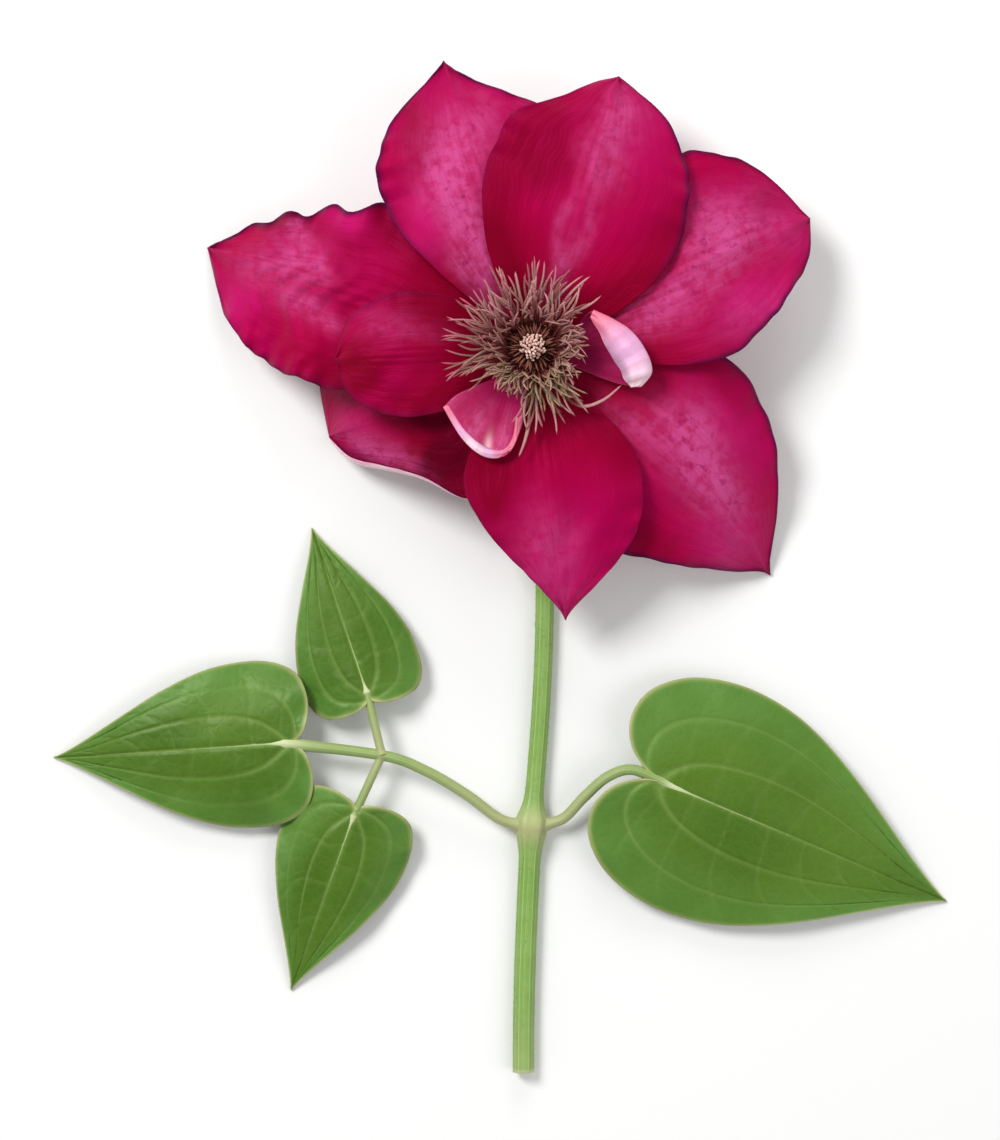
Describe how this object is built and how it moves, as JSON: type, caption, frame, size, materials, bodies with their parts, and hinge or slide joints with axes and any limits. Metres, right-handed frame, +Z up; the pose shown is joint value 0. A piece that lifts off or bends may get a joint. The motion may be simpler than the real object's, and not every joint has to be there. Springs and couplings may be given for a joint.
{
  "type": "clematis flower",
  "caption": "Picked clematis bloom lying face up: pointed crimson tepals round a boss of stamens, on a bent green stalk with a pair of leaves.",
  "frame": {"origin": "middle of the part's box, on the surface that it lies on", "axes": "+Z up, out of the bloom's face; +Y along the part from the cut end of the stem to the bloom"},
  "size_m": [0.1746, 0.1958, 0.0288],
  "materials": {
    "tepal": "satin",
    "petaloid": "satin",
    "stamens": "matte",
    "styles": "matte",
    "stalk": "satin",
    "leaf": "satin"
  },
  "bodies": {
    "root": {"tepal_1": "tepal", "tepal_2": "tepal", "tepal_3": "tepal", "tepal_4": "tepal", "tepal_5": "tepal", "tepal_6": "tepal", "tepal_7": "tepal", "tepal_8": "tepal", "petaloid_1": "petaloid", "petaloid_2": "petaloid", "stamens": "stamens", "styles": "styles", "flower_stalk": "stalk", "leaf_simple": "leaf", "leaf_ternate": "leaf"}
  },
  "joints": []
}
